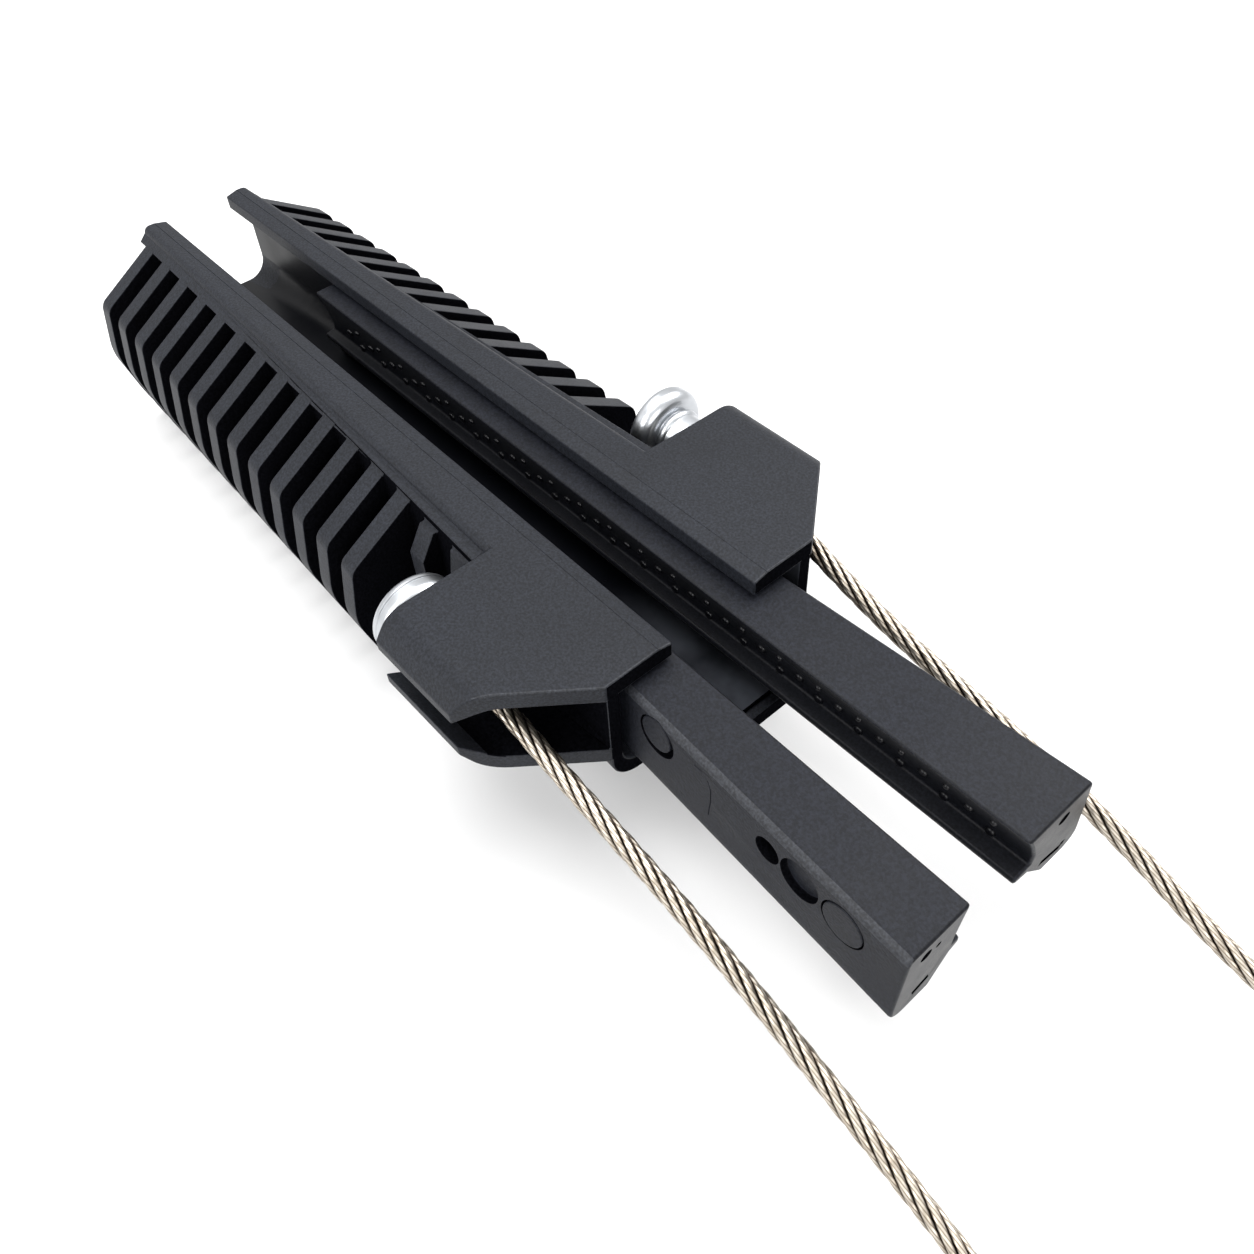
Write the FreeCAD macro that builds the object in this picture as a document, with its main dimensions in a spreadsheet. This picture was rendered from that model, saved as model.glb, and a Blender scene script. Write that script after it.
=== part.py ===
import FreeCAD, Part
import math
import os
import Sketcher

# Sizes in millimetres. X runs along the clamp towards the wire bail, Z is up, and the
# ribs stand on Z = 0. Both ends of every tapered form are given at the same two stations,
# one just behind the narrow end of the body and one just past the front of the wedges.
SIZES = {
    "station_rear": (-102.0, "rear station of the tapered forms"),
    "station_front": (102.0, "front station of the tapered forms"),
    "top_level": (38.4, "height of the top plates over the rib bottoms"),
    "plate_thick": (3.2, "top plate thickness"),
    "plate_round": (1.4, "round on the outer edge of the top plates"),
    "plate_half_rear": (11.8, "half width of the top plates, rear station"),
    "plate_half_front": (18.7, "half width of the top plates, front station"),
    "slot_half_rear": (6.8, "half width of the top slot, rear station"),
    "slot_half_front": (8.2, "half width of the top slot, front station"),
    "strip_width": (2.5, "width of the sloping strip beside the slot"),
    "strip_drop": (0.6, "fall of that strip"),
    "body_rear": (-101.0, "narrow end of the top plates"),
    "trough_half_rear": (9.3, "half width of the trough, rear station"),
    "trough_half_front": (20.2, "half width of the trough, front station"),
    "trough_depth_rear": (18.2, "trough floor under the plate tops, rear station"),
    "trough_depth_front": (21.0, "trough floor under the plate tops, front station"),
    "trough_round_rear": (4.4, "round between trough wall and floor, rear station"),
    "trough_round_front": (3.0, "round between trough wall and floor, front station"),
    "wall_thick": (2.1, "side wall of the shell"),
    "floor_thick": (3.0, "floor of the shell"),
    "tongue_front": (58.0, "front edge of the floor tongue"),
    "tongue_half": (10.0, "half width of the floor tongue"),
    "rib_pitch": (8.0, "spacing of the ribs"),
    "rib_thick": (3.7, "rib thickness"),
    "rib_count": (13, "full ribs"),
    "rib_first": (-94.8, "front face of the first rib"),
    "rib_seat_rear": (11.28, "half width where the rib tops start, rear station"),
    "rib_seat_front": (18.24, "half width where the rib tops start, front station"),
    "rib_seat_drop": (1.3, "depth of that start under the plate tops"),
    "rib_top_rear": (25.67, "half width of the upper rib corner, rear station"),
    "rib_top_front": (33.04, "half width of the upper rib corner, front station"),
    "rib_top_drop": (9.9, "depth of the upper rib corner"),
    "rib_top_round": (2.8, "round on the upper rib corner"),
    "rib_side_rear": (27.68, "widest half width of the ribs, rear station"),
    "rib_side_front": (34.64, "widest half width of the ribs, front station"),
    "rib_side_drop": (20.4, "depth of the widest place"),
    "rib_side_round": (12.0, "round of the rib side"),
    "rib_foot_rear": (23.52, "half width of the lower rib corner, rear station"),
    "rib_foot_front": (28.43, "half width of the lower rib corner, front station"),
    "rib_foot_round": (10.0, "round on the lower rib corner"),
    "stub_half": (21.0, "half width of the short ribs behind the lugs"),
    "lug_rib_half": (19.0, "half width of the short rib that runs into the lugs"),
    "stub_top_drop": (7.6, "depth of the upper corner of the short ribs"),
    "stub_round": (6.0, "round on the lower corner of the short ribs"),
    "lug_rear": (20.4, "rear edge of the lugs"),
    "lug_front": (51.2, "front edge of the lugs and of the top plates"),
    "lug_corner": (38.2, "front end of the rim of each lug"),
    "lug_face_half": (19.8, "half width of the straight front edge"),
    "rim_half": (36.1, "half width over the rims of the lugs"),
    "upper_bend_half": (33.4, "half width where the upper lug starts to curve down"),
    "upper_rim_drop": (3.9, "fall of the upper lug at its rim"),
    "rim_thick": (1.9, "thickness of both lugs at the rim"),
    "lug_round": (5.0, "round where the lugs bend"),
    "slot_high": (5.4, "height of the side slot at the rim"),
    "cavity_depth": (14.0, "depth of the lower lug under the plate tops"),
    "lower_thick": (3.0, "thickness of the lower lug"),
    "web_half": (22.2, "half width over the walls that close the lugs at the rear"),
    "web_thick": (2.6, "thickness of those walls"),
    "wedge_rear": (-62.0, "narrow ends of the wedges"),
    "wedge_front": (101.0, "wide ends of the wedges"),
    "wedge_gap": (0.32, "running gap of a wedge to trough wall and floor"),
    "wedge_drop": (4.0, "depth of the wedge tops under the plate tops"),
    "wedge_round_rear": (4.2, "round under the outer side of the wedges, rear station"),
    "wedge_round_front": (2.8, "round under the outer side of the wedges, front station"),
    "edge_drop": (7.1, "depth where the inner sides turn into the cable groove"),
    "groove_drop": (11.0, "depth where the cable groove is deepest"),
    "lip_thick": (1.1, "thickness of the lip under the cable"),
    "lip_drop": (13.2, "depth of the lip's upper face under the plate tops"),
    "right_side_rear": (8.98, "outer side of the right wedge, rear station"),
    "right_side_front": (19.88, "outer side of the right wedge, front station"),
    "right_outer_rear": (7.4, "outer top edge of the right wedge, rear station"),
    "right_outer_front": (16.8, "outer top edge of the right wedge, front station"),
    "right_top_round": (0.9, "round on the outer top edge of the right wedge"),
    "right_inner_rear": (3.8, "inner top edge of the right wedge, rear station"),
    "right_inner_front": (3.7, "inner top edge of the right wedge, front station"),
    "right_lip_rear": (3.5, "edge of the right lip, rear station"),
    "right_lip_front": (3.9, "edge of the right lip, front station"),
    "right_groove_rear": (5.3, "depth of the right cable groove, rear station"),
    "right_groove_front": (7.0, "depth of the right cable groove, front station"),
    "right_foot_rear": (4.4, "inner edge of the right foot, rear station"),
    "right_foot_front": (12.0, "inner edge of the right foot, front station"),
    "left_side_rear": (8.98, "outer side of the left wedge, rear station"),
    "left_side_front": (18.9, "outer side of the left wedge, front station"),
    "left_outer_rear": (7.9, "outer top edge of the left wedge, rear station"),
    "left_outer_front": (18.5, "outer top edge of the left wedge, front station"),
    "left_top_round": (1.3, "round on the outer top edge of the left wedge"),
    "left_inner_rear": (4.6, "inner top edge of the left wedge, rear station"),
    "left_inner_front": (7.5, "inner top edge of the left wedge, front station"),
    "left_lip_rear": (4.2, "edge of the left lip, rear station"),
    "left_lip_front": (6.9, "edge of the left lip, front station"),
    "left_groove_rear": (5.0, "depth of the left cable groove, rear station"),
    "left_groove_front": (8.4, "depth of the left cable groove, front station"),
    "left_foot_rear": (4.6, "inner edge of the left foot, rear station"),
    "left_foot_front": (11.2, "inner edge of the left foot, front station"),
    "rope_thick": (3.0, "diameter of the wire rope"),
    "flange_half": (7.0, "radius of the ferrule flange"),
    "flange_long": (4.0, "length of the ferrule flange"),
    "flange_round": (1.9, "round of the flange edge"),
    "barrel_half": (4.3, "radius of the ferrule barrel"),
    "right_barrel_long": (6.4, "length of the right barrel in front of the flange"),
    "left_barrel_long": (10.4, "length of the left barrel in front of the flange"),
    "barrel_round": (1.0, "round on the front edge of the barrel"),
    "rope_grip": (4.4, "length of rope held in the barrel"),
    "ferrule_half": (27.2, "half distance between the ferrules"),
    "right_ferrule_place": (13.7, "front face of the right flange"),
    "left_ferrule_place": (19.0, "front face of the left flange"),
    "right_ferrule_drop": (7.0, "depth of the right ferrule under the plate tops"),
    "left_ferrule_drop": (9.2, "depth of the left ferrule under the plate tops"),
}

# Named places along X where sections of the tapered forms are drawn.
PLACES = {
    "plate_end": "body_rear",
    "rib_end": "rib_first - rib_thick",
    "last_rib": "rib_first + rib_count*rib_pitch - rib_pitch",
    "lug_end": "lug_front",
    "tongue_end": "tongue_front",
    "narrow_end": "wedge_rear",
    "wide_end": "wedge_front",
}

# Corner points of the bail, from the front of one ferrule round the bight to the other.
# The rope runs on from both ends into the ferrules.
BAIL_TURNS = [
    (38.0, -27.5, 27.8),
    (52.0, -27.9, 25.5),
    (78.0, -27.3, 18.9),
    (104.0, -27.9, 11.7),
    (126.0, -29.0, 5.9),
    (150.0, -30.6, 2.8),
    (178.0, -31.6, 1.8),
    (204.0, -26.5, 1.7),
    (222.5, -11.5, 1.7),
    (224.5, 10.0, 1.7),
    (208.0, 25.0, 1.7),
    (182.0, 29.0, 1.9),
    (154.0, 27.0, 3.4),
    (128.0, 25.2, 7.8),
    (101.0, 27.0, 15.2),
    (83.0, 26.6, 19.4),
    (65.0, 25.8, 23.4),
    (50.0, 25.8, 28.0),
    (41.0, 26.7, 30.2),
    (27.5, 27.3, 31.3),
]

doc = FreeCAD.newDocument("AnchorClamp")
sheet = doc.addObject("Spreadsheet::Sheet", "Sizes")


def fill_sheet():
    for row, (name, (number, note)) in enumerate(SIZES.items(), start=1):
        sheet.set("A%d" % row, name)
        sheet.set("B%d" % row, str(number))
        sheet.setAlias("B%d" % row, name)
        sheet.set("C%d" % row, note)
    doc.recompute()


def terms(text):
    """Split a sum such as "top_level - 0.5*plate_thick" into lists of factors.

    A factor such as trough_half@lug_end is the tapered size at that place along X.
    """
    for term in text.replace("- ", "-").replace("+ ", "").split():
        sign = ["-1"] if term.startswith("-") and not term[1].isdigit() else []
        yield sign + (term[1:] if sign else term).split("*")


def number(text):
    return sum(math.prod(value(factor) for factor in term) for term in terms(text))


def value(factor):
    base, tapered, place = factor.partition("@")
    if not base[-1].isalpha():
        return float(factor)
    if not tapered:
        return float(sheet.get(factor))
    rear = value(base + "_rear")
    share = number(PLACES[place] + " - station_rear") / number("station_front - station_rear")
    return rear + (value(base + "_front") - rear) * share


def formula(text):
    return " + ".join("(%s)" % " * ".join(cell(factor) for factor in term)
                      for term in terms(text))


def cell(factor):
    base, tapered, place = factor.partition("@")
    if not base[-1].isalpha():
        return "(%s)" % factor
    if not tapered:
        return "Sizes." + factor
    share = "(%s) / (Sizes.station_front - Sizes.station_rear)" % (
        formula(PLACES[place] + " - station_rear"))
    return "(Sizes.{0}_rear + (Sizes.{0}_front - Sizes.{0}_rear) * {1})".format(base, share)


def plane(body, role):
    return [item for item in body.Origin.OriginFeatures if item.Role == role][0]


def new_body(name):
    body = doc.addObject("PartDesign::Body", name)
    body.Label = name
    return body


def corner_arc(before, here, after, radius):
    """Tangent points and arc that round the corner here with the given radius."""
    back = (before - here).normalize()
    ahead = (after - here).normalize()
    half = back.getAngle(ahead) / 2.0
    reach = radius / math.tan(half)
    middle = here + (back + ahead).normalize() * (radius / math.sin(half))
    first = here + back * reach
    last = here + ahead * reach
    left = back.cross(ahead).z < 0
    start, end = (first, last) if left else (last, first)
    angles = [math.atan2((p - middle).y, (p - middle).x) for p in (start, end)]
    circle = Part.Circle(middle, FreeCAD.Vector(0, 0, 1), radius)
    return first, last, Part.ArcOfCircle(circle, angles[0], angles[1]), left


def draw(body, name, role, corners, offset=None):
    """Sketch of a closed outline. Each corner is (first axis, second axis, radius)."""
    sketch = body.newObject("Sketcher::SketchObject", name)
    sketch.AttachmentSupport = (plane(body, role), "")
    sketch.MapMode = "FlatFace"
    if offset:
        sketch.setExpression("AttachmentOffset.Base.z", formula(offset))
    add_outline(sketch, corners)
    return sketch


def add_outline(sketch, corners):
    count = len(corners)
    points = [FreeCAD.Vector(number(a), number(b), 0) for a, b, _ in corners]
    ends = {}
    arcs = {}
    for i, (_, _, radius) in enumerate(corners):
        ends[i] = (points[i], points[i])
        if radius:
            first, last, arc, left = corner_arc(
                points[i - 1], points[i], points[(i + 1) % count], number(radius))
            ends[i] = (first, last)
            arcs[i] = (arc, left)
    lines = [sketch.addGeometry(Part.LineSegment(ends[i][1], ends[(i + 1) % count][0]), False)
             for i in range(count)]
    for i, (across, up, radius) in enumerate(corners):
        before = lines[i - 1]
        after = lines[i]
        if radius:
            spot = sketch.addGeometry(Part.Point(points[i]), True)
            arc = sketch.addGeometry(arcs[i][0], False)
            start, end = (1, 2) if arcs[i][1] else (2, 1)
            sketch.addConstraint([
                Sketcher.Constraint("Tangent", before, 2, arc, start),
                Sketcher.Constraint("Tangent", arc, end, after, 1),
                Sketcher.Constraint("PointOnObject", spot, 1, before),
                Sketcher.Constraint("PointOnObject", spot, 1, after),
            ])
            bind(sketch, Sketcher.Constraint("Radius", arc, number(radius)), radius)
        else:
            sketch.addConstraint(Sketcher.Constraint("Coincident", before, 2, after, 1))
            spot = after
        bind(sketch, Sketcher.Constraint("DistanceX", -1, 1, spot, 1, points[i].x), across)
        bind(sketch, Sketcher.Constraint("DistanceY", -1, 1, spot, 1, points[i].y), up)


def bind(sketch, constraint, text):
    index = sketch.addConstraint(constraint)
    sketch.setExpression("Constraints[%d]" % index, formula(text))


def mirrored(half):
    """Close a half outline, given from the bottom up, with its mirror image."""
    return half + [(flipped(a), b, r) for a, b, r in reversed(half)]


def flipped(text):
    return " ".join("-1*" + "*".join(term) for term in terms(text))


def pad(body, sketch, length, reverse=False):
    feature = body.newObject("PartDesign::Pad", body.Name + "_pad")
    feature.Profile = sketch
    feature.setExpression("Length", formula(length))
    feature.Reversed = reverse
    body.Tip = feature
    return feature


def loft(name, section, rear, front):
    """Tapered form between two places along X; section gives the outline at a place."""
    body = new_body(name)
    first = draw(body, name + "_rear", "YZ_Plane", section(rear), PLACES[rear])
    last = draw(body, name + "_front", "YZ_Plane", section(front), PLACES[front])
    feature = body.newObject("PartDesign::AdditiveLoft", name + "_loft")
    feature.Profile = first
    feature.Sections = [last]
    feature.Ruled = True
    body.Tip = feature
    return body


def boolean(kind, name, base, tool):
    item = doc.addObject("Part::" + kind, name)
    item.Base = base
    item.Tool = tool
    item.Label = name
    return item


def join(name, shapes):
    item = doc.addObject("Part::MultiFuse", name)
    item.Shapes = shapes
    item.Refine = True
    item.Label = name
    return item


def trough_section(place):
    half = "trough_half@" + place
    floor = "top_level - trough_depth@" + place
    return mirrored([
        (half, floor, "trough_round@" + place),
        (half, "top_level - plate_thick", None),
    ])


def shell_section(place):
    half = "trough_half@%s + wall_thick" % place
    foot = "top_level - trough_depth@%s - floor_thick" % place
    return mirrored([
        (half, foot, "trough_round@%s + wall_thick" % place),
        (half, "top_level - 0.5*plate_thick", None),
    ])


def plate_section(place):
    half = "plate_half@" + place
    return mirrored([
        (half, "top_level - plate_thick", None),
        (half, "top_level", "plate_round"),
    ])


def slot_section(place):
    half = "slot_half@" + place
    return mirrored([
        (half, "top_level - 1.5*plate_thick", None),
        (half, "top_level - strip_drop", None),
        (half + " + strip_width", "top_level", None),
        (half + " + strip_width", "top_level + plate_thick", None),
    ])


def rib_section(place):
    return mirrored([
        ("rib_foot@" + place, "0*top_level", "rib_foot_round"),
        ("rib_side@" + place, "top_level - rib_side_drop", "rib_side_round"),
        ("rib_top@" + place, "top_level - rib_top_drop", "rib_top_round"),
        ("rib_seat@" + place, "top_level - rib_seat_drop", None),
    ])


def make_ribs():
    blank = loft("rib_blank", rib_section, "rib_end", "last_rib")
    comb = new_body("rib_gaps")
    bar = draw(comb, "gap_bar", "XZ_Plane", [
        ("rib_first", "top_level + plate_thick", None),
        (PLACES["last_rib"], "top_level + plate_thick", None),
        (PLACES["last_rib"], "top_level + 2*plate_thick", None),
        ("rib_first", "top_level + 2*plate_thick", None),
    ])
    pad(comb, bar, "3*rib_side_front").Midplane = True
    tooth = draw(comb, "gap_tooth", "XZ_Plane", [
        ("rib_first", "-1*plate_thick", None),
        ("rib_first + rib_pitch - rib_thick", "-1*plate_thick", None),
        ("rib_first + rib_pitch - rib_thick", "top_level + 1.5*plate_thick", None),
        ("rib_first", "top_level + 1.5*plate_thick", None),
    ])
    cut = pad(comb, tooth, "3*rib_side_front")
    cut.Midplane = True
    row = comb.newObject("PartDesign::LinearPattern", "gap_row")
    row.Originals = [cut]
    row.Direction = (tooth, ["H_Axis"])
    row.setExpression("Length", "Sizes.rib_pitch * (Sizes.rib_count - 2)")
    row.setExpression("Occurrences", "Sizes.rib_count - 1")
    comb.Tip = row
    return boolean("Cut", "ribs", blank, comb)


def make_stub(name, half, start, length):
    body = new_body(name)
    section = mirrored([
        (half, "0*top_level", "stub_round"),
        (half, "top_level - stub_top_drop", None),
        ("rib_seat_front", "top_level - plate_thick", None),
    ])
    pad(body, draw(body, name + "_outline", "YZ_Plane", section, start), length)
    return body


def make_lugs():
    """Upper and lower lug plates, run across the body and bent towards the side slots."""
    upper = new_body("upper_lugs")
    section = mirrored([
        ("upper_bend_half - 0.5*plate_thick", "top_level - plate_thick", "lug_round"),
        ("rim_half", "top_level - upper_rim_drop - rim_thick", None),
        ("rim_half", "top_level - upper_rim_drop", None),
        ("upper_bend_half", "top_level", "lug_round"),
    ])
    pad(upper, draw(upper, "upper_outline", "YZ_Plane", section, "lug_rear"),
        "lug_front - lug_rear")
    lower = new_body("lower_lugs")
    slot_foot = "top_level - upper_rim_drop - rim_thick - slot_high"
    section = mirrored([
        ("upper_bend_half", "top_level - cavity_depth - lower_thick", "lug_round"),
        ("rim_half", slot_foot + " - rim_thick", None),
        ("rim_half", slot_foot, None),
        ("upper_bend_half - 0.5*plate_thick", "top_level - cavity_depth", "lug_round"),
    ])
    pad(lower, draw(lower, "lower_outline", "YZ_Plane", section, "lug_rear"),
        "lug_front - lug_rear")
    return join("lug_blanks", [upper, lower])


def make_plan():
    """Plan outline of the whole body: body, lugs with swept front corners, tongue."""
    body = new_body("plan")
    outline = draw(body, "plan_outline", "XY_Plane", [
        ("body_rear", "-1*rim_half", None),
        ("lug_corner", "-1*rim_half", None),
        ("lug_front", "-1*lug_face_half", None),
        ("lug_front", "-1*tongue_half", None),
        ("tongue_front", "-1*tongue_half", None),
        ("tongue_front", "tongue_half", None),
        ("lug_front", "tongue_half", None),
        ("lug_front", "lug_face_half", None),
        ("lug_corner", "rim_half", None),
        ("body_rear", "rim_half", None),
    ])
    pad(body, outline, "top_level + plate_thick")
    return body


def make_webs():
    body = new_body("lug_webs")
    outline = draw(body, "web_outline", "XY_Plane", [
        ("lug_rear", "-1*web_half", None),
        ("lug_rear + web_thick", "-1*web_half", None),
        ("lug_rear + web_thick", "web_half", None),
        ("lug_rear", "web_half", None),
    ], "top_level - cavity_depth - 0.5*lower_thick")
    pad(body, outline, "cavity_depth")
    return body


def make_mouth():
    """Open space over the floor tongue, in front of the top plates."""
    body = new_body("mouth")
    outline = draw(body, "mouth_outline", "XZ_Plane", [
        ("lug_front", "top_level - 2*plate_thick", None),
        ("tongue_front + plate_thick", "top_level - 2*plate_thick", None),
        ("tongue_front + plate_thick", "top_level + plate_thick", None),
        ("lug_front", "top_level + plate_thick", None),
    ])
    pad(body, outline, "3*tongue_half").Midplane = True
    return body


def make_clamp_body():
    shell = loft("shell", shell_section, "rib_end", "tongue_end")
    plates = loft("plates", plate_section, "plate_end", "lug_end")
    stubs = [
        make_stub("stub_rib", "stub_half", "rib_first + rib_count*rib_pitch - rib_thick",
                  "rib_thick"),
        make_stub("lug_rib", "lug_rib_half",
                  "rib_first + rib_count*rib_pitch + rib_pitch - rib_thick",
                  "lug_rear - rib_first - rib_count*rib_pitch - rib_pitch + rib_thick"),
    ]
    solid = join("moulding", [plates, shell, make_ribs(), make_lugs(), make_webs()] + stubs)
    trimmed = boolean("Common", "moulding_cut", solid, make_plan())
    trough = loft("trough", trough_section, "plate_end", "tongue_end")
    slot = loft("slot", slot_section, "plate_end", "lug_end")
    hollow = join("hollow", [trough, slot, make_mouth()])
    return boolean("Cut", "clamp_body", trimmed, hollow)


def make_wedge(side, sign):
    """One wedge: tapered bar with a groove for the cable and a lip under it."""
    def section(place):
        foot = "top_level - trough_depth@%s + wedge_gap" % place
        inner = "%s_inner@%s" % (side, place)
        groove = "%s_groove@%s" % (side, place)
        lip = "%s_lip@%s" % (side, place)
        half = [
            ("%s_foot@%s" % (side, place), foot, None),
            ("%s_side@%s" % (side, place), foot, "wedge_round@" + place),
            ("%s_outer@%s" % (side, place), "top_level - wedge_drop", side + "_top_round"),
            (inner, "top_level - wedge_drop", None),
            ("0.5*%s + 0.5*%s" % (inner, groove), "top_level - edge_drop", None),
            (groove, "top_level - groove_drop", None),
            (groove, "top_level - lip_drop + 0.3*lip_thick", None),
            (lip, "top_level - lip_drop", None),
            (lip, "top_level - lip_drop - lip_thick", None),
            (groove, "top_level - lip_drop - 1.7*lip_thick", None),
        ]
        return half[::-1] if sign > 0 else [(flipped(a), b, r) for a, b, r in half[::-1]]

    return loft(side + "_wedge", section, "narrow_end", "wide_end")


def make_ferrule(side, sign):
    """Turned ferrule: rounded flange behind the lug, barrel forward, bore for the rope."""
    body = new_body(side + "_ferrule")
    barrel_end = side + "_barrel_long"
    profile = draw(body, side + "_profile", "XY_Plane", [
        ("-1*flange_long", "0*flange_half", None),
        (barrel_end + " - rope_grip", "0*flange_half", None),
        (barrel_end + " - rope_grip", "0.5*rope_thick", None),
        (barrel_end, "0.5*rope_thick", None),
        (barrel_end, "barrel_half", "barrel_round"),
        ("0*flange_long", "barrel_half", None),
        ("0*flange_long", "flange_half", "flange_round"),
        ("-1*flange_long", "flange_half", "flange_round"),
    ])
    turn = body.newObject("PartDesign::Revolution", side + "_turn")
    turn.Profile = profile
    turn.ReferenceAxis = (profile, ["H_Axis"])
    turn.Angle = 360.0
    body.Tip = turn
    body.setExpression("Placement.Base.x", formula(side + "_ferrule_place"))
    body.setExpression("Placement.Base.y", formula("%d*ferrule_half" % sign))
    body.setExpression("Placement.Base.z", formula("top_level - %s_ferrule_drop" % side))
    return body


def rope_end(side, sign):
    """Where the rope ends inside the barrel of a ferrule."""
    return FreeCAD.Vector(number("%s_ferrule_place + %s_barrel_long - rope_grip" % (side, side)),
                          sign * number("ferrule_half"),
                          number("top_level - %s_ferrule_drop" % side))


def rounded_path(points):
    """Straight runs joined by tangent arcs, each as large as its two runs allow."""
    edges = []
    radii = []
    last = points[0]
    for before, here, after in zip(points, points[1:], points[2:]):
        back = before - here
        ahead = after - here
        turn = math.pi - back.getAngle(ahead)
        reach = 0.45 * min(back.Length, ahead.Length)
        radius = reach / math.tan(turn / 2.0)
        radii.append(radius)
        back.normalize()
        ahead.normalize()
        start = here + back * reach
        end = here + ahead * reach
        to_arc = radius * (1.0 / math.cos(turn / 2.0) - 1.0)
        middle = here + (back + ahead).normalize() * to_arc
        edges.append(Part.LineSegment(last, start).toShape())
        edges.append(Part.Arc(start, middle, end).toShape())
        last = end
    edges.append(Part.LineSegment(last, points[-1]).toShape())
    print("bail radii", [round(radius, 1) for radius in radii])
    return Part.Wire(edges)


def make_rope():
    """Bail of wire rope: out of the left ferrule, round the bight, into the right one."""
    left = rope_end("left", -1)
    right = rope_end("right", 1)
    turns = [FreeCAD.Vector(*point) for point in BAIL_TURNS]
    spine = doc.addObject("Part::Feature", "bail_route")
    spine.Shape = rounded_path([left] + turns + [right])
    section = doc.addObject("Part::Circle", "bail_section")
    section.setExpression("Radius", formula("0.5*rope_thick"))
    section.Placement = FreeCAD.Placement(
        left, FreeCAD.Rotation(FreeCAD.Vector(0, 0, 1), turns[0] - left))
    rope = doc.addObject("Part::Sweep", "bail_rope")
    rope.Label = "bail_rope"
    rope.Sections = [section]
    rope.Spine = (spine, ["Edge%d" % (i + 1) for i in range(len(spine.Shape.Edges))])
    rope.Solid = True
    doc.recompute()
    area = math.pi * (0.5 * number("rope_thick")) ** 2
    print("bail volume", round(rope.Shape.Volume, 1),
          "section times length", round(area * spine.Shape.Length, 1))
    return rope


def check_all(nodes):
    for item in doc.Objects:
        bad = [word for word in item.State if word in ("Invalid", "Error")]
        if bad:
            raise RuntimeError("%s: %s" % (item.Name, bad))
    for node in nodes:
        shape = node.Shape
        if shape.isNull() or not shape.isValid():
            raise RuntimeError(node.Label + " has no valid shape")
        print(node.Label, "solids", len(shape.Solids), "volume", round(shape.Volume, 1),
              "faces", len(shape.Faces), "box", shape.BoundBox)


fill_sheet()
nodes = [
    make_clamp_body(),
    make_wedge("left", -1),
    make_wedge("right", 1),
    make_ferrule("left", -1),
    make_ferrule("right", 1),
    make_rope(),
]
doc.recompute()
check_all(nodes)
os.makedirs("parts", exist_ok=True)
for node in nodes:
    node.Shape.exportStep("parts/" + node.Label + ".step")
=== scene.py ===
import math

import bmesh
import bpy
from mathutils import Matrix, Vector
from mathutils.kdtree import KDTree


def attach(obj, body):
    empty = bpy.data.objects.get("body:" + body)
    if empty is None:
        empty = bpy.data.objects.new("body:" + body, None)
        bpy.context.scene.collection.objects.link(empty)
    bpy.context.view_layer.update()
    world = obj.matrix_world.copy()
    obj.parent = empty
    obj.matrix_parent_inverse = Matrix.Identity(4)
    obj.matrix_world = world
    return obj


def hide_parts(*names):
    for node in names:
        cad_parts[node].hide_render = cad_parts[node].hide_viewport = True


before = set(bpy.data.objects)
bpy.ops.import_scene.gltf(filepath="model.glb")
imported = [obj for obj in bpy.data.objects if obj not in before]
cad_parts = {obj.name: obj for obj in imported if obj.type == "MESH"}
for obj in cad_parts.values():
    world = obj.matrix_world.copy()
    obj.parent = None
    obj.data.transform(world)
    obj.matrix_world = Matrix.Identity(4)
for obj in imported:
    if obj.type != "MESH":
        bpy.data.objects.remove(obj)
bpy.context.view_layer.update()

MM = 0.001
CREASE_ANGLE = 40
LEFT, RIGHT = -1, 1
UP = (0, 0, 1)
FORWARD = (1, 0, 0)


# ---------------------------------------------------------------- helpers

def show(name, data):
    """An object with the given data, linked to the scene."""
    made = bpy.data.objects.new(name, data)
    bpy.context.scene.collection.objects.link(made)
    return made


def evaluated_mesh(thing):
    """The mesh of an object with its modifier or its bevel worked out."""
    ready = thing.evaluated_get(bpy.context.evaluated_depsgraph_get())
    return bpy.data.meshes.new_from_object(ready)


def shade_smooth(mesh, sharp_angle):
    """Smooth shading that keeps the edges sharper than an angle in degrees."""
    mesh.polygons.foreach_set("use_smooth", [True] * len(mesh.polygons))
    mesh.set_sharp_from_angle(angle=math.radians(sharp_angle))


def finish_mesh(bm, name, sharp_angle=CREASE_ANGLE):
    """The bmesh as a smooth-shaded mesh that keeps its sharp edges."""
    mesh = bpy.data.meshes.new(name)
    bm.to_mesh(mesh)
    bm.free()
    shade_smooth(mesh, sharp_angle)
    mesh.update()
    return mesh


def material_place(mesh, material):
    """The place of a material in the mesh's list, where it is added if it isn't there yet."""
    if material.name not in mesh.materials:
        mesh.materials.append(material)
    return mesh.materials.find(material.name)


def finish_faces(piece, material, chosen):
    """Another finish for the faces chosen by their centre in mm, their normal and their area."""
    place = material_place(piece.data, material)
    for face in piece.data.polygons:
        if chosen(face.center / MM, face.normal, face.area / (MM * MM)):
            face.material_index = place


def wear(piece, material, body):
    """Gives a piece its material and the body that it rides on."""
    piece.data.materials.clear()
    piece.data.materials.append(material)
    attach(piece, body)


def within(value, reach):
    """Whether a value lies between the two ends of a reach."""
    return reach[0] < value < reach[1]


# ---------------------------------------------------------------- camera

CAMERA_PLACE = (0.12304, -0.07340, 0.15433)
CAMERA_TURN = (40.6737, 2.1947, 48.6008)
CAMERA_SENSOR = 36
CAMERA_LENS = 32.4117


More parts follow.
